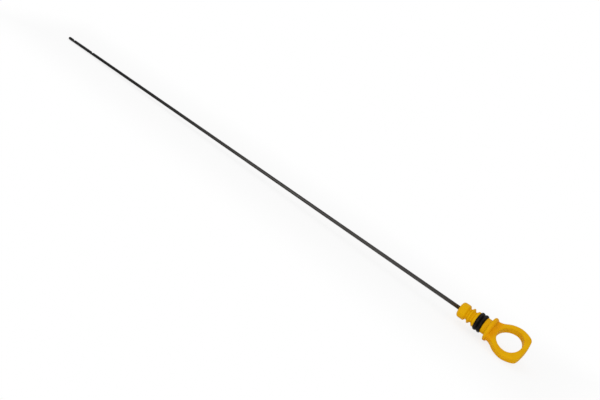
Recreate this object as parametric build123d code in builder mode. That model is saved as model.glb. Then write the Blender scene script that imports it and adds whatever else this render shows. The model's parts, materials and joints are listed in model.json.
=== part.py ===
from build123d import *
from math import asin, atan2, cos, hypot, radians, sin, tan
import os

# Engine oil dipstick: a moulded finger-ring handle on a long steel gauge rod, with a
# twin-lip rubber seal that closes the mouth of the guide tube.
# Millimetres. Each piece is drawn with the stick level along X, from the rod's tip to the
# finger ring, and with the seat, the front face of the stop flange, at x = 0.
# The finished pieces are then laid at rest on z = 0, on the rod's tip, the rim of the flange
# and one side of the ring, with the origin under the middle of the length.

# Gauge rod
rod_diameter = 3.0
rod_reach = 509.2  # seat to tip
rod_stop = 5.5  # seat to the end that is moulded into the plug

# Level marks, round notches across the rod near its tip
low_mark = 8.2  # tip to the middle of the low mark
mark_spacing = 30.9  # low mark to high mark
mark_depth = 1.0
mark_radius = 1.25
mark_turn = 50.0  # degrees from the top of the rod towards +Y

# Plug, the part of the handle inside the guide tube
plug_diameter = 12.2
plug_length = 24.5  # nose to seat
nose_length = 5.8
nose_round = 2.0
relief_diameter = 8.6  # floors of the two grooves beside the rib
relief_floor = 0.8
rib_place = 9.4  # nose to the middle of the rib
rib_land = 0.5
shoulder_place = 13.0  # nose to the shoulder in front of the seal

# Seal and its groove
seal_place = 14.7  # nose to the front of the groove
seal_width = 5.8
seal_diameter = 14.2  # over the lips
seal_valley_diameter = 12.8  # between the lips
seal_bore = 9.4  # floor of the groove
lip_land = 0.7  # crest of each lip

# Stop flange
flange_diameter = 18.9
flange_bevel = 0.6  # both edges of the rim
flange_land = 1.3
back_length = 1.2  # rim to the end of the conical back, inside the ring

# Finger ring
ring_reach = 29.6  # seat to the far end
ring_width = 29.5
ring_thickness = 6.4
ring_edge_round = 1.2
root_width = 16.9  # where the ring leaves the flange
root_round = 7.0  # hollow bend from the root into the flared sides
flare_angle = 35.3  # degrees between the flared sides and the stick
side_radius = 14.8  # bow of the sides, up to the widest place
side_turn = 38.0  # degrees that the sides bow in again before the far corners
corner_round = 3.7
end_radius = 44.7  # bow of the far end
hole_place = 7.1  # seat to the finger hole
hole_widest = 17.5  # seat to the hole's widest place
hole_bevel = 0.6
arm_width = 4.1  # ring's side beside the finger hole
end_bar = 4.2  # ring's far side beyond the finger hole

# Sizes that follow
rod_radius = rod_diameter / 2
plug_radius = plug_diameter / 2
flange_radius = flange_diameter / 2
ring_half = ring_thickness / 2
side = ring_width / 2
nose = -plug_length
shoulder = nose + shoulder_place
seal_front = nose + seal_place
seal_back = seal_front + seal_width
rim_back = flange_bevel + flange_land + flange_bevel

# Flared side: a hollow bend from the root, a straight run, then the bowed side
flare = radians(flare_angle)
flare_direction = Vector(cos(flare), sin(flare))
bend_end = Vector(rim_back + root_round * sin(flare), root_width / 2 + root_round * (1 - cos(flare)))
flare_run = (side - bend_end.Y - side_radius * (1 - cos(flare))) / sin(flare)
flare_end = bend_end + flare_direction * flare_run

# Far corner: an arc that takes over from the bowed side and meets the bowed end without a kink
turn = radians(side_turn)
ring_widest = flare_end.X + side_radius * sin(flare)
corner_reach = end_radius - corner_round
corner_rise = side - corner_round + tan(turn / 2) * (end_radius + ring_widest - ring_reach)
end_turn = asin(corner_rise * cos(turn / 2) / corner_reach) - turn / 2
corner_place = ring_reach - end_radius + corner_reach * cos(end_turn)
corner_centre = Vector(corner_place, corner_reach * sin(end_turn))
side_end = corner_centre + Vector(sin(turn), cos(turn)) * corner_round
end_start = corner_centre + Vector(cos(end_turn), sin(end_turn)) * corner_round

# Lean at rest: the domed tip and the front corner of the rim both touch z = 0
tip_centre = rod_radius - rod_reach
lean_run = flange_bevel - tip_centre
lean = atan2(flange_radius, lean_run) - asin(rod_radius / hypot(lean_run, flange_radius))
seat_height = rod_radius - tip_centre * sin(lean)

# Roll at rest: the ring is turned about the stick until its side touches z = 0 as well
edge_run = ring_reach - ring_edge_round
edge_side = side - ring_edge_round
edge_drop = ring_half - ring_edge_round
side_drop = (seat_height + ring_widest * sin(lean) - ring_edge_round) / cos(lean)
roll = asin(side_drop / hypot(edge_side, edge_drop)) - atan2(edge_drop, edge_side)

# The middle of the length is over the origin
tip_x = tip_centre * cos(lean) - rod_radius
end_x = edge_run * cos(lean) + edge_drop * sin(lean) * cos(roll) + ring_edge_round
seat = Vector(-(tip_x + end_x) / 2, 0, seat_height)

along = Vector(cos(lean), 0, sin(lean))
upward = Vector(-sin(lean), 0, cos(lean))
ring_normal = upward * cos(roll) - Vector(0, sin(roll), 0)
at_rest = Plane(origin=seat, x_dir=along, z_dir=ring_normal).location


# Handle, one moulding: finger ring, stop flange and plug
with BuildPart() as handle:
    # Finger ring, a plate with rounded edges, flared sides and a bowed far end
    with BuildSketch():
        with BuildLine():
            root = (rim_back, root_width / 2)
            Polyline((flange_bevel, 0), (flange_bevel, root_width / 2), root)
            JernArc(root, (1, 0), root_round, flare_angle)
            Line(bend_end, flare_end)
            bowed_side = TangentArc(flare_end, (ring_widest, side), tangent=flare_direction)
            far_side = TangentArc((ring_widest, side), side_end, tangent=bowed_side % 1)
            far_corner = TangentArc(side_end, end_start, tangent=far_side % 1)
            TangentArc(end_start, (ring_reach, 0), tangent=far_corner % 1)
            mirror(about=Plane.XZ)
        make_face()
    extrude(amount=ring_half, both=True)
    fillet(handle.faces().filter_by(Plane.XY).edges(), radius=ring_edge_round)

    # Finger hole with bevelled rims
    with BuildSketch():
        with BuildLine():
            hole_side = side - arm_width
            hole_far = ring_reach - end_bar
            EllipticalCenterArc((hole_widest, 0), hole_widest - hole_place, hole_side, 90, arc_size=90)
            EllipticalCenterArc((hole_widest, 0), hole_far - hole_widest, hole_side, 0, arc_size=90)
            mirror(about=Plane.XZ)
        make_face()
    extrude(amount=ring_half, both=True, mode=Mode.SUBTRACT)
    hole_edges = handle.edges(Select.LAST).group_by(Axis.Z)
    chamfer(hole_edges[0] + hole_edges[-1], length=hole_bevel)

    # Plug with its rod socket, relief grooves, rib and seal groove, and the flange
    with BuildSketch(Plane.XZ):
        with BuildLine():
            relief = relief_diameter / 2
            rib_front = nose + rib_place - rib_land / 2
            rib_back = rib_front + rib_land
            front_groove = (nose + nose_length + rib_front) / 2
            back_groove = (rib_back + shoulder) / 2
            CenterArc((nose + nose_round, plug_radius - nose_round), nose_round, 180, -90)
            Polyline(
                (nose + nose_round, plug_radius),
                (nose + nose_length, plug_radius),
                (front_groove - relief_floor / 2, relief),
                (front_groove + relief_floor / 2, relief),
                (rib_front, plug_radius),
                (rib_back, plug_radius),
                (back_groove - relief_floor / 2, relief),
                (back_groove + relief_floor / 2, relief),
                (shoulder, plug_radius),
                (seal_front, plug_radius),
                (seal_front, seal_bore / 2),
                (seal_back, seal_bore / 2),
                (seal_back, plug_radius),
                (0, plug_radius),
                (0, flange_radius - flange_bevel),
                (flange_bevel, flange_radius),
                (flange_bevel + flange_land, flange_radius),
                (rim_back, flange_radius - flange_bevel),
                (rim_back + back_length, edge_drop),
                (rim_back + back_length, 0),
                (-rod_stop, 0),
                (-rod_stop, rod_radius),
                (nose, rod_radius),
                (nose, plug_radius - nose_round),
            )
        make_face()
    revolve(axis=Axis.X)

# Gauge rod: steel wire with a domed tip, its other end moulded into the plug
with BuildPart() as gauge_rod:
    with BuildSketch(Plane.XZ):
        with BuildLine():
            CenterArc((tip_centre, 0), rod_radius, 180, -90)
            Polyline((tip_centre, rod_radius), (-rod_stop, rod_radius), (-rod_stop, 0), (-rod_reach, 0))
        make_face()
    revolve(axis=Axis.X)
    for mark in (low_mark, low_mark + mark_spacing):
        with BuildSketch(Plane.XZ.rotated((-mark_turn, 0, 0))):
            with Locations((mark - rod_reach, rod_radius - mark_depth + mark_radius)):
                Circle(mark_radius)
        extrude(amount=rod_diameter, both=True, mode=Mode.SUBTRACT)

# Seal: one rubber sleeve with two lips, seated in the plug's groove
with BuildPart() as seal:
    with BuildSketch(Plane.XZ):
        with BuildLine():
            crest = seal_diameter / 2
            front_lip = seal_front + seal_width / 4
            back_lip = seal_back - seal_width / 4
            Polyline(
                (seal_front, seal_bore / 2),
                (seal_front, plug_radius),
                (front_lip - lip_land / 2, crest),
                (front_lip + lip_land / 2, crest),
                (seal_front + seal_width / 2, seal_valley_diameter / 2),
                (back_lip - lip_land / 2, crest),
                (back_lip + lip_land / 2, crest),
                (seal_back, plug_radius),
                (seal_back, seal_bore / 2),
                close=True,
            )
        make_face()
    revolve(axis=Axis.X)

# The finished pieces, laid at rest
handle.part.location = at_rest
gauge_rod.part.location = at_rest
seal.part.location = at_rest

os.makedirs("parts", exist_ok=True)
handle.part.label = "handle"
gauge_rod.part.label = "gauge_rod"
seal.part.label = "seal"
export_step(handle.part, "parts/handle.step")
export_step(gauge_rod.part, "parts/gauge_rod.step")
export_step(seal.part, "parts/seal.step")
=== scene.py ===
# Engine oil dipstick: moulded handle, rubber seal and drawn steel gauge rod
import json
from math import asin, cos, pi, radians, sin, tan

import bmesh
import bpy
from mathutils import Matrix, Vector, geometry


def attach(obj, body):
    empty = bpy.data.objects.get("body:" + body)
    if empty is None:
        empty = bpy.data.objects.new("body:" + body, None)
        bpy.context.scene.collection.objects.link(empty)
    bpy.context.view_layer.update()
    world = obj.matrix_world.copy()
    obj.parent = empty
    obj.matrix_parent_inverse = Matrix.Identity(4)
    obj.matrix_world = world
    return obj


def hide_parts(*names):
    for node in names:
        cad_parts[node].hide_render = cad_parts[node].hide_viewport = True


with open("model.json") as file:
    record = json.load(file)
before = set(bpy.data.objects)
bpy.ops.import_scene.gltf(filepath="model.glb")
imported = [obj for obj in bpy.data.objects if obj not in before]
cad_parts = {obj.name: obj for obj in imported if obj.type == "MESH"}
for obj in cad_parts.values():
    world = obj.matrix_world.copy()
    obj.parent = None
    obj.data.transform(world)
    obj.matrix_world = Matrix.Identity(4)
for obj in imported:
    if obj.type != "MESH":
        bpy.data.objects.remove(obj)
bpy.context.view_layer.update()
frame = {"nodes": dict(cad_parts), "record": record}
print("frame loaded with", sorted(frame["nodes"]))

scene = bpy.context.scene
scene.view_settings.view_transform = "Standard"
mm = 0.001  # pieces are drawn in millimetres, then laid down in metres
weld = 0.0005  # mm, points closer than this are one
roundSegments = 8  # of a rounded corner or edge


# The stick's own frame: x along it to the ring, z out of the ring's face, origin in the stop's seat
def stickFrame():
    mounts = {mount["name"]: mount for mount in frame["record"]["mounts"]}
    along = -Vector(mounts["plug_nose"]["axis"])
    nose = Vector(mounts["plug_nose"]["pos_m"])
    onSeat = Vector(mounts["stop_seat"]["pos_m"])
    seat = nose + along * (onSeat - nose).dot(along)
    across = (onSeat - seat).normalized()
    turn = Matrix((along, across, along.cross(across))).transposed().to_4x4()
    return Matrix.Translation(seat) @ turn


stick = stickFrame()


# Shader maths as plain expressions on sockets
class Wire:
    def __init__(self, tree, socket=None):
        self.tree = tree
        self.socket = socket

    def node(self, kind, settings=None, inputs=None, output=0):
        made = self.tree.nodes.new("ShaderNode" + kind)
        for name, value in (settings or {}).items():
            setattr(made, name, value)
        for name, value in (inputs or {}).items():
            if isinstance(value, Wire):
                self.tree.links.new(value.socket, made.inputs[name])
            else:
                made.inputs[name].default_value = value
        return Wire(self.tree, made.outputs[output] if made.outputs else None)

    def maths(self, operation, first, second=0.0):
        return self.node("Math", {"operation": operation}, {0: first, 1: second})

    def mixColour(self, factor, first, second):
        mixing = {"data_type": "RGBA", "clamp_factor": True}
        return self.node("Mix", mixing, {0: factor, 6: first, 7: second}, 2)  # its colour sockets

    def axis(self, letter):
        return self.node("SeparateXYZ", None, {"Vector": self}, letter)

    def ramp(self, low, high, smooth=True):
        kind = "SMOOTHSTEP" if smooth else "LINEAR"
        settings = {"interpolation_type": kind}
        return self.node("MapRange", settings, {"Value": self, "From Min": low, "From Max": high})

    def __add__(self, other):
        return self.maths("ADD", self, other)

    def __radd__(self, other):
        return self.maths("ADD", other, self)

    def __sub__(self, other):
        return self.maths("SUBTRACT", self, other)

    def __rsub__(self, other):
        return self.maths("SUBTRACT", other, self)

    def __mul__(self, other):
        return self.maths("MULTIPLY", self, other)

    def __rmul__(self, other):
        return self.maths("MULTIPLY", other, self)

    def __abs__(self):
        return self.maths("ABSOLUTE", self)


def newMaterial(name):
    material = bpy.data.materials.new(name)
    material.use_nodes = True
    material.node_tree.nodes.clear()
    return material, Wire(material.node_tree)


# Coordinates in the stick's frame, in millimetres
def stickCoordinates(wire):
    place = wire.node("TexCoord", output="Object")
    turn = stick.to_euler()
    settings = {"vector_type": "TEXTURE"}
    inputs = {"Vector": place, "Location": stick.translation, "Rotation": turn, "Scale": (mm, mm, mm)}
    return wire.node("Mapping", settings, inputs)


# A noise on the stick's frame, with a scale for each direction, in features per millimetre
def noise(wire, place, scale, detail, seed):
    spread = wire.node("Mapping", {"vector_type": "POINT"}, {"Vector": place, "Scale": scale})
    inputs = {"Vector": spread, "W": seed, "Scale": 1.0, "Detail": detail, "Roughness": 0.55}
    return wire.node("TexNoise", {"noise_dimensions": "4D"}, inputs)


# Relief in millimetres, as a bump in metres
def bumped(wire, relief):
    return wire.node("Bump", None, {"Height": relief * mm, "Distance": 1.0, "Strength": 1.0})


def finishMaterial(wire, inputs):
    shader = wire.node("BsdfPrincipled", None, inputs)
    wire.node("OutputMaterial", None, {"Surface": shader})


plasticFinish = {
    "yellow": (0.73, 0.385, 0.001, 1),
    "warm": (0.69, 0.345, 0.001, 1),  # thicker or later-cooled patches
    "creaseShade": (0.74, 0.325, 0.001, 1),  # painted shade in the hollow behind the flange
    "root": 4.2,  # mm from the seat
    "rootReach": (0.8, 4.0),  # mm to either side, where the painted shade fades
    "patches": (0.22, 0.22, 0.22),  # per mm
    "patchRange": (0.4, 0.72),  # noise levels between yellow and warm
    "grain": (4.5, 4.5, 4.5),  # per mm, of the eroded mould's surface
    "grainHeight": 0.012,  # mm
    "parting": (0.028, 0.07),  # mm, half the width of the mould's line at its top and foot
    "partingHeight": 0.05,  # mm
    "gloss": (1.1, 1.1, 1.1),  # per mm
    "glossRange": (0.3, 0.7),  # noise levels between smooth and rough
    "smooth": 0.42,
    "rough": 0.56,
    "specular": 0.04,
}


def handlePlastic():
    material, wire = newMaterial("handlePlastic")
    f = plasticFinish
    place = stickCoordinates(wire)
    patches = noise(wire, place, f["patches"], detail=4, seed=1.3)
    shell = wire.mixColour(patches.ramp(*f["patchRange"]), f["yellow"], f["warm"])
    # painted shade: deeper orange in the hollow behind the flange, fading to either side
    fading = abs(place.axis("X") - f["root"]).ramp(*f["rootReach"])
    colour = wire.mixColour(fading, f["creaseShade"], shell)
    grain = noise(wire, place, f["grain"], detail=2, seed=4.1)
    parting = 1 - abs(place.axis("Z")).ramp(*f["parting"])
    relief = grain * f["grainHeight"] + parting * f["partingHeight"]
    gloss = noise(wire, place, f["gloss"], detail=3, seed=7.7).ramp(*f["glossRange"])
    roughness = f["smooth"] + gloss * (f["rough"] - f["smooth"])
    finishMaterial(wire, {
        "Base Color": colour,
        "Roughness": roughness,
        "Normal": bumped(wire, relief),
        "Specular IOR Level": f["specular"],
    })
    return material


steelFinish = {
    "tipTone": (0.006, 0.006, 0.006, 1),  # darker towards the tip, and in the blotches
    "handleTone": (0.054, 0.051, 0.048, 1),  # towards the handle
    "pale": (0.1, 0.095, 0.09, 1),  # drawn streaks
    "tipToneTo": -455.0,  # mm from the seat, where the darker tone towards the tip is full
    # mm from the seat, where the darker tone has faded out towards the handle
    "handleToneFrom": -100.0,
    "streaks": (0.02, 5.0, 5.0),  # per mm, long in the drawing direction
    "streakRange": (0.42, 0.75),  # noise levels between bare and pale
    "streakHeight": 0.008,  # mm
    "blotches": (0.12, 0.5, 0.5),  # per mm
    "blotchRange": (0.5, 0.85),  # noise levels of the darker blotches
    "tipCover": 0.95,  # share of the darker tone at the tip
    "blotchCover": 0.25,  # more in the blotches
    "smooth": 0.26,
    "handleRough": 0.08,  # each adds to smooth
    "streakRough": 0.12,
    "streakRoughRange": (0.3, 0.8),
    "blotchRough": 0.1,
    "blotchRoughRange": (0.4, 0.8),
    "metallic": 0.75,
    "specular": 0.2,
}


def rodSteel():
    material, wire = newMaterial("rodSteel")
    f = steelFinish
    place = stickCoordinates(wire)
    handleTone = place.axis("X").ramp(f["tipToneTo"], f["handleToneFrom"], smooth=False)
    streaks = noise(wire, place, f["streaks"], detail=4, seed=2.6)
    blotches = noise(wire, place, f["blotches"], detail=3, seed=5.2)
    steel = wire.mixColour(streaks.ramp(*f["streakRange"]), f["handleTone"], f["pale"])
    # the steel turns darker towards the tip and in random blotches
    tipCover = (1 - handleTone) * f["tipCover"] + blotches.ramp(*f["blotchRange"]) * f["blotchCover"]
    colour = wire.mixColour(tipCover, steel, f["tipTone"])
    streakRough = streaks.ramp(*f["streakRoughRange"]) * f["streakRough"]
    blotchRough = blotches.ramp(*f["blotchRoughRange"]) * f["blotchRough"]
    roughness = f["smooth"] + handleTone * f["handleRough"] + streakRough + blotchRough
    finishMaterial(wire, {
        "Base Color": colour,
        "Roughness": roughness,
        "Metallic": f["metallic"],
        "Specular IOR Level": f["specular"],
        "Normal": bumped(wire, streaks * f["streakHeight"]),
    })
    return material


rubberFinish = {
    "black": (0.001, 0.0008, 0.0007, 1),
    "sheenColour": (0.02, 0.015, 0.0125, 1),  # painted sheen on the crests of the lips, in random patches
    "crests": (6.75, 7.1),  # mm from the axis
    "patches": (0.5, 0.5, 0.5),  # per mm
    "sheenRange": (0.25, 0.65),  # noise levels between black and the painted sheen
    "grain": (6.0, 6.0, 6.0),  # per mm
    "grainHeight": 0.01,  # mm
    "smooth": 0.36,
    "patchRough": 0.16,  # adds to smooth
    "patchRoughRange": (0.3, 0.8),
    "specular": 0.04,
}


def sealRubber():
    material, wire = newMaterial("sealRubber")
    f = rubberFinish
    place = stickCoordinates(wire)
    patches = noise(wire, place, f["patches"], detail=4, seed=3.3)
    grain = noise(wire, place, f["grain"], detail=2, seed=8.8)
    across = place.axis("Y")
    height = place.axis("Z")
    radius = wire.maths("SQRT", across * across + height * height)
    # painted highlight: the lips' crests are lighter, in random patches
    crestSheen = radius.ramp(*f["crests"]) * patches.ramp(*f["sheenRange"])
    colour = wire.mixColour(crestSheen, f["black"], f["sheenColour"])
    roughness = f["smooth"] + patches.ramp(*f["patchRoughRange"]) * f["patchRough"]
    finishMaterial(wire, {
        "Base Color": colour,
        "Roughness": roughness,
        "Normal": bumped(wire, grain * f["grainHeight"]),
        "Specular IOR Level": f["specular"],
    })
    return material


# Ends a bmesh as a mesh of that name
def asMesh(bm, name):
    mesh = bpy.data.meshes.new(name)
    bm.to_mesh(mesh)
    bm.free()
    return mesh


# A finished mesh becomes a piece: drawn in the stick's frame in mm, laid down, at the origin
def layPiece(name, mesh, material, node):
    mesh.transform(stick @ Matrix.Scale(mm, 4))
    mesh.materials.append(material)
    mesh.polygons.foreach_set("use_smooth", [True] * len(mesh.polygons))
    piece = bpy.data.objects.new(name, mesh)
    scene.collection.objects.link(piece)
    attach(piece, "root")
    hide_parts(node)
    print(name, "has", len(mesh.polygons), "faces")


# Rounds corners or edges, as far along their sides as reach
def roundOff(bm, geom, reach, affect, segments=roundSegments):
    bmesh.ops.bevel(
        bm, geom=geom, offset=reach, offset_type="OFFSET", segments=segments, profile=0.5,
        affect=affect, material=-1,
    )


# The line that a turned piece is spun from, by its corners as (along, radius, rounding)
def halfSection(corners):
    bm = bmesh.new()
    verts = [bm.verts.new((x, 0, radius)) for x, radius, _ in corners]
    bm.faces.new(verts)
    for vert, (_, _, rounding) in zip(verts, corners):
        if rounding:
            roundOff(bm, [vert], rounding, "VERTICES")
    onAxis = [edge for edge in bm.edges if all(abs(vert.co.z) < weld for vert in edge.verts)]
    bmesh.ops.delete(bm, geom=list(bm.faces), context="FACES_ONLY")
    bmesh.ops.delete(bm, geom=onAxis, context="EDGES")
    return bm


# Spins that line about the stick's axis into a closed skin
def spinSection(bm, steps):
    bmesh.ops.spin(
        bm, geom=list(bm.verts) + list(bm.edges), cent=(0, 0, 0), axis=(1, 0, 0), angle=2 * pi,
        steps=steps, use_merge=True,
    )
    bmesh.ops.remove_doubles(bm, verts=bm.verts, dist=weld)
    bmesh.ops.recalc_face_normals(bm, faces=bm.faces)


# Handle, one moulding: plug, stop flange and finger ring. Millimetres from the seat
handle = {
    "socketRadius": 1.4,  # grips the rod
    "socketEnd": -5.5,
    "plugRadius": 6.1,
    "nose": -24.5,
    "noseRound": 2.0,
    "noseLength": 5.8,
    "reliefRadius": 4.3,
    "reliefFloor": 0.8,
    "rib": -15.1,
    "ribLand": 0.6,
    "shoulder": -11.5,
    "sealFront": -9.8,
    "sealBack": -4.0,
    "sealBore": 4.7,
    "flangeRadius": 9.45,
    "flangeBevel": 0.6,
    "flangeLand": 1.3,
    "backBevel": 1.2,  # the rim's softer edge towards the ring
    "blendRound": 3.6,  # hollow blend from the flange's back down to the ring's faces
    "blendLength": 3.8,
    "blendFoot": 3.0,
    "ringReach": 29.6,
    "ringSide": 14.75,
    "ringHalf": 3.2,
    "ringRound": 1.2,
    "root": 2.5,  # where the ring's sides start to flare
    "rootHalf": 8.45,
    "rootRound": 7.0,
    "flare": 35.3,  # degrees
    "sideRadius": 14.8,
    "sideTurn": 38.0,  # degrees
    "cornerRound": 3.7,
    "endRadius": 44.7,
    "holeStart": 7.1,
    "holeWidest": 17.5,
    "holeRound": 0.8,
    "armWidth": 4.1,
    "endBar": 3.9,
    "outlineSegments": 16,  # of each bend in the ring's outline
    "steps": 128,  # round the plug and the finger hole
    "voxel": 0.22,  # mm, of the skin that joins ring and flange
    "softening": 6,
    "rootSoftening": 14,
    "rootZone": (-0.8, 9.0),  # around the flange and the blend
}


def plugSection():
    h = handle
    floor = h["reliefFloor"] / 2
    ribFront = h["rib"] - h["ribLand"] / 2
    ribBack = h["rib"] + h["ribLand"] / 2
    frontGroove = (h["nose"] + h["noseLength"] + ribFront) / 2
    backGroove = (ribBack + h["shoulder"]) / 2
    rimEdge = h["flangeRadius"] - h["flangeBevel"]
    rimBack = h["flangeBevel"] + h["flangeLand"] + h["backBevel"]
    return halfSection([
        (h["socketEnd"], 0, 0),
        (h["socketEnd"], h["socketRadius"], 0),
        (h["nose"], h["socketRadius"], 0),
        (h["nose"], h["plugRadius"], h["noseRound"]),
        (h["nose"] + h["noseLength"], h["plugRadius"], 0),
        (frontGroove - floor, h["reliefRadius"], 0),
        (frontGroove + floor, h["reliefRadius"], 0),
        (ribFront, h["plugRadius"], 0),
        (ribBack, h["plugRadius"], 0),
        (backGroove - floor, h["reliefRadius"], 0),
        (backGroove + floor, h["reliefRadius"], 0),
        (h["shoulder"], h["plugRadius"], 0),
        (h["sealFront"], h["plugRadius"], 0),
        (h["sealFront"], h["sealBore"], 0),
        (h["sealBack"], h["sealBore"], 0),
        (h["sealBack"], h["plugRadius"], 0),
        (0, h["plugRadius"], 0),
        (0, rimEdge, 0),
        (h["flangeBevel"], h["flangeRadius"], 0),
        (h["flangeBevel"] + h["flangeLand"], h["flangeRadius"], 0),
        (rimBack, h["flangeRadius"] - h["backBevel"], 0),
        (rimBack, h["blendFoot"], h["blendRound"]),
        (rimBack + h["blendLength"], h["blendFoot"], 0),
        (rimBack + h["blendLength"], 0, 0),
    ])


# The ring's outline: straight sides first, then each corner is rounded as far as its tangents reach
def ringOutline():
    h = handle
    side, end, corner = h["ringSide"], h["endRadius"], h["cornerRound"]
    flare, turn = radians(h["flare"]), radians(h["sideTurn"])
    rootTangent = h["rootRound"] * tan(flare / 2)
    sideTangent = h["sideRadius"] * tan(flare / 2)
    bendX = h["root"] + rootTangent
    flareX = bendX + (side - h["rootHalf"]) / tan(flare)
    widest = flareX + sideTangent
    rise = side - corner + tan(turn / 2) * (end + widest - h["ringReach"])
    bow = asin(rise * cos(turn / 2) / (end - corner)) - turn / 2
    farRadius = corner + (h["ringReach"] - end - widest + (end - corner) * cos(bow)) / sin(turn)
    farTangent = farRadius * tan(turn / 2)
    cornerTangent = corner * tan((pi / 2 - bow - turn) / 2)
    bowTangent = end * tan(bow)
    farX = widest + farTangent
    reach = farTangent + cornerTangent
    cornerX, cornerY = farX + reach * cos(turn), side - reach * sin(turn)
    tipX = cornerX + (cornerTangent + bowTangent) * sin(bow)
    bm = bmesh.new()
    half = [
        (h["flangeBevel"], h["rootHalf"]),
        (bendX, h["rootHalf"]),
        (flareX, side),
        (farX, side),
        (cornerX, cornerY),
    ]
    other = [(x, -y) for x, y in reversed(half)]
    corners = [bm.verts.new((x, y, 0)) for x, y in half + [(tipX, 0)] + other]
    bm.faces.new(corners)
    rounds = [
        ([corners[1], corners[9]], rootTangent),
        ([corners[2], corners[8]], sideTangent),
        ([corners[3], corners[7]], farTangent),
        ([corners[4], corners[6]], cornerTangent),
        ([corners[5]], bowTangent),
    ]
    for places, tangent in rounds:
        roundOff(bm, places, tangent, "VERTICES", h["outlineSegments"])
    sides = [[vert.co.xy for vert in edge.verts] for edge in bm.edges]
    bm.free()
    return sides


# The hole's edge grown out to the outline, then raised, with round rims
def fingerRing():
    h = handle
    holeSide = h["ringSide"] - h["armWidth"]
    holeFar = h["ringReach"] - h["endBar"]
    centre = Vector((h["holeWidest"], 0, -h["ringHalf"]))
    bm = bmesh.new()
    hole = bmesh.ops.create_circle(bm, segments=h["steps"], radius=1)["verts"]
    nearHalf = [vert for vert in hole if vert.co.x < 0]
    farHalf = [vert for vert in hole if vert.co.x >= 0]
    bmesh.ops.scale(bm, verts=nearHalf, vec=(h["holeWidest"] - h["holeStart"], holeSide, 1))
    bmesh.ops.scale(bm, verts=farHalf, vec=(holeFar - h["holeWidest"], holeSide, 1))
    bmesh.ops.translate(bm, verts=hole, vec=centre)
    grown = bmesh.ops.extrude_edge_only(bm, edges=list(bm.edges))["geom"]
    outer = [item for item in grown if isinstance(item, bmesh.types.BMVert)]
    floor = [item for item in grown if isinstance(item, bmesh.types.BMFace)]
    outline = ringOutline()
    for vert in outer:
        ray = (vert.co - centre).xy.normalized() * (2 * h["ringReach"])
        for first, second in outline:
            met = geometry.intersect_line_line_2d(centre.xy, centre.xy + ray, first, second)
            if met:
                vert.co.xy = met
                break
    raised = bmesh.ops.extrude_face_region(bm, geom=floor)["geom"]
    top = [item for item in raised if isinstance(item, bmesh.types.BMVert)]
    bmesh.ops.translate(bm, verts=top, vec=(0, 0, 2 * h["ringHalf"]))
    bmesh.ops.recalc_face_normals(bm, faces=bm.faces)
    holePlaces = [vert.co.xy for vert in hole]
    inside = {vert for vert in top if any((vert.co.xy - place).length < weld for place in holePlaces)}
    inside.update(hole)
    rims = [edge for edge in bm.edges if abs(edge.verts[0].co.z - edge.verts[1].co.z) < weld]
    holeRims = [edge for edge in rims if all(vert in inside for vert in edge.verts)]
    outerRims = [edge for edge in rims if not any(vert in inside for vert in edge.verts)]
    roundOff(bm, holeRims, h["holeRound"], "EDGES")
    roundOff(bm, outerRims, h["ringRound"], "EDGES")
    return bm


# Plug and ring under one skin, softened all over and then more around the flange
def makeHandle():
    h = handle
    bm = plugSection()
    spinSection(bm, h["steps"])
    plug = asMesh(bm, "plug")
    bm = fingerRing()
    bm.from_mesh(plug)
    joined = bpy.data.objects.new("handleParts", asMesh(bm, "handleParts"))
    scene.collection.objects.link(joined)
    remesh = joined.modifiers.new("skin", "REMESH")
    remesh.mode = "VOXEL"
    remesh.voxel_size = h["voxel"]
    remesh.adaptivity = 0
    depsgraph = bpy.context.evaluated_depsgraph_get()
    skin = bpy.data.meshes.new_from_object(joined.evaluated_get(depsgraph))
    bpy.data.objects.remove(joined)
    bm = bmesh.new()
    bm.from_mesh(skin)
    rootStart, rootEnd = h["rootZone"]
    root = [vert for vert in bm.verts if rootStart < vert.co.x < rootEnd]
    for verts, rounds in ((bm.verts, h["softening"]), (root, h["rootSoftening"])):
        for _ in range(rounds):
            bmesh.ops.smooth_vert(
                bm, verts=verts, factor=0.5, use_axis_x=True, use_axis_y=True, use_axis_z=True
            )
    bm.to_mesh(skin)
    bm.free()
    layPiece("mouldedHandle", skin, handlePlastic(), "handle")


# Seal: a rubber sleeve with two round lips. Millimetres from the seat
seal = {
    "front": handle["sealFront"],
    "back": handle["sealBack"],
    "bore": handle["sealBore"],
    "crest": 7.1,
    "lipRound": 1.05,
    "valley": 6.35,
    "valleyHalf": 0.95,
    "valleyRound": 0.3,
    "innerRound": 0.55,
    "steps": 96,
}


def makeSeal():
    s = seal
    middle = (s["front"] + s["back"]) / 2
    bm = halfSection([
        (s["front"], s["bore"], 0),
        (s["front"], s["crest"], s["lipRound"]),
        (middle - s["valleyHalf"], s["crest"], s["innerRound"]),
        (middle, s["valley"], s["valleyRound"]),
        (middle + s["valleyHalf"], s["crest"], s["innerRound"]),
        (s["back"], s["crest"], s["lipRound"]),
        (s["back"], s["bore"], 0),
    ])
    spinSection(bm, s["steps"])
    layPiece("lipSeal", asMesh(bm, "lipSeal"), sealRubber(), "seal")


# Gauge rod: drawn wire with a domed tip and two pressed level marks. Millimetres from the seat
gauge = {
    "radius": 1.5,
    "tip": -509.2,
    "stop": handle["socketEnd"],
    "marks": (-501.0, -470.1),
    "markDepth": 1.0,
    "markFloor": 2.2,
    "markRamp": 1.1,
    "markTurn": 50.0,  # degrees round the rod, from the ring's face towards its side
    "markCuts": 28,  # rings of points across a mark
    "steps": 48,
}


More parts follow.
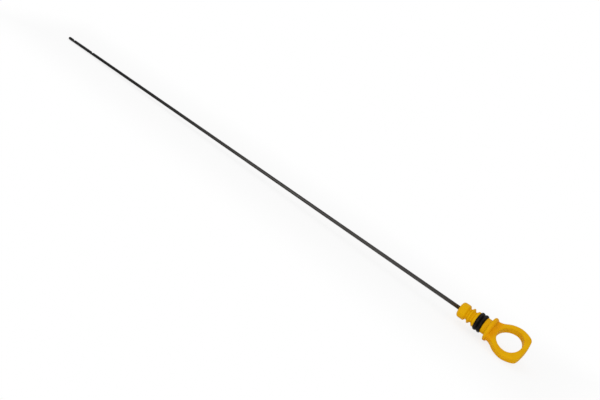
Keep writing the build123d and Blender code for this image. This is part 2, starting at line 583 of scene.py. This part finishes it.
def makeRod():
    g = gauge
    half = g["markFloor"] / 2 + g["markRamp"]
    ends = [(mark + end, g["radius"], 0) for mark in g["marks"] for end in (-half, half)]
    bm = halfSection([
        (g["tip"], 0, 0),
        (g["tip"], g["radius"], g["radius"]),
        *ends,
        (g["stop"], g["radius"], 0),
        (g["stop"], 0, 0),
    ])
    marked = [edge for edge in bm.edges if abs(edge.calc_length() - 2 * half) < weld]
    bmesh.ops.subdivide_edges(bm, edges=marked, cuts=g["markCuts"])
    spinSection(bm, g["steps"])
    outward = Vector((0, sin(radians(g["markTurn"])), cos(radians(g["markTurn"]))))
    for vert in bm.verts:
        away = min(abs(vert.co.x - mark) for mark in g["marks"])
        ramp = min(max((away - g["markFloor"] / 2) / g["markRamp"], 0), 1)
        eased = ramp * ramp * (3 - 2 * ramp)
        floor = g["radius"] - g["markDepth"] * (1 - eased)
        vert.co -= outward * max(vert.co.dot(outward) - floor, 0)
    layPiece("drawnRod", asMesh(bm, "drawnRod"), rodSteel(), "gauge_rod")


# Photograph's camera, found from the handle's and the rod's outlines
view = {
    "lens": 41.88,  # mm
    "sensor": 36.0,  # mm
    "photoSize": (600, 400),  # pixels
    "pitch": 48.925,  # degrees down
    "heading": -42.666,  # degrees, the stick's turn in the table's plane
    "roll": -5.902,  # degrees, the stick's turn about itself
    "nosePixel": (460.17, 308.381),  # across and down the photograph, middle of the plug's nose
    "noseDepth": 0.509115,  # m
    "clipStart": 0.01,  # m
}


def placeCamera():
    v = view
    wide, high = v["photoSize"]
    focal = v["lens"] / v["sensor"] * wide
    depth = v["noseDepth"]
    right = (v["nosePixel"][0] - wide / 2) / focal * depth
    down = (v["nosePixel"][1] - high / 2) / focal * depth
    heading = Matrix.Rotation(radians(v["heading"]), 4, "Z")
    turned = heading @ Matrix.Rotation(radians(v["roll"]), 4, "X")
    looking = Matrix.Rotation(radians(90 - v["pitch"]), 4, "X")
    nose = stick @ Matrix.Translation((handle["nose"] * mm, 0, 0))
    data = bpy.data.cameras.new("camera")
    data.lens = v["lens"]
    data.sensor_width = v["sensor"]
    data.clip_start = v["clipStart"]
    camera = bpy.data.objects.new("camera", data)
    camera.matrix_world = nose @ turned.inverted() @ looking @ Matrix.Translation((-right, down, depth))
    scene.collection.objects.link(camera)
    scene.camera = camera
    print("camera set with a lens of", v["lens"], "mm")


# Pale floor, white sky and soft lamps
studio = {
    "floorSize": 8.0,  # m
    "white": (1, 1, 1, 1),
    "floorWhite": (0.92, 0.92, 0.92, 1),
    "floorGlow": 0.8,  # share of plain white that the eye sees by the stick, the rest keeps the shadow
    "besideFade": (0.02, 0.1),  # m to either side, where the floor turns to the sky's white
    "beyondFade": (0.28, 0.36),  # m to either end
    "skyLight": 0.7,
    "lamps": [
        # place, aim, size in m, power in W
        ((0.35, -0.95, 0.35), (0.1, 0, 0), 0.7, 3.3),
        ((-0.4, 0.5, 1.0), (0, 0, 0), 0.9, 2.2),
    ],
}


# 1 where the eye, a mirror or a lens looks at this surface, else 0
def seenDirectly(wire):
    camera = wire.node("LightPath", output="Is Camera Ray")
    mirror = wire.node("LightPath", output="Is Glossy Ray")
    through = wire.node("LightPath", output="Is Transmission Ray")
    return wire.maths("MAXIMUM", wire.maths("MAXIMUM", camera, mirror), through)


def paleFloor():
    material, wire = newMaterial("paleFloor")
    s = studio
    place = wire.node("TexCoord", output="Object")
    beside = abs(place.axis("Y")).ramp(*s["besideFade"])
    beyond = abs(place.axis("X")).ramp(*s["beyondFade"])
    share = s["floorGlow"] + wire.maths("MAXIMUM", beside, beyond) * (1 - s["floorGlow"])
    matte = wire.node("BsdfDiffuse", None, {"Color": s["floorWhite"]})
    white = wire.node("Emission", None, {"Color": s["white"], "Strength": 1.0})
    blend = wire.node("MixShader", None, {0: seenDirectly(wire) * share, 1: matte, 2: white})
    wire.node("OutputMaterial", None, {"Surface": blend})
    return material


def makeFloor():
    bm = bmesh.new()
    bmesh.ops.create_grid(bm, x_segments=1, y_segments=1, size=studio["floorSize"] / 2)
    mesh = asMesh(bm, "floor")
    mesh.materials.append(paleFloor())
    floor = bpy.data.objects.new("floor", mesh)
    scene.collection.objects.link(floor)
    print("floor laid,", studio["floorSize"], "m across")


def makeSky():
    world = bpy.data.worlds.new("sky")
    world.use_nodes = True
    world.node_tree.nodes.clear()
    scene.world = world
    wire = Wire(world.node_tree)
    light = studio["skyLight"]
    strength = light + seenDirectly(wire) * (1 - light)
    sky = wire.node("Background", None, {"Color": studio["white"], "Strength": strength})
    wire.node("OutputWorld", None, {"Surface": sky})
    print("sky set at", light)


def makeLamps():
    for place, aim, size, power in studio["lamps"]:
        data = bpy.data.lights.new("lamp", "AREA")
        data.size = size
        data.energy = power
        lamp = bpy.data.objects.new("lamp", data)
        lamp.location = place
        lamp.rotation_euler = (Vector(aim) - Vector(place)).to_track_quat("-Z", "Y").to_euler()
        scene.collection.objects.link(lamp)
    print("lamps set:", len(studio["lamps"]))


makeHandle()
makeSeal()
makeRod()
placeCamera()
makeFloor()
makeSky()
makeLamps()
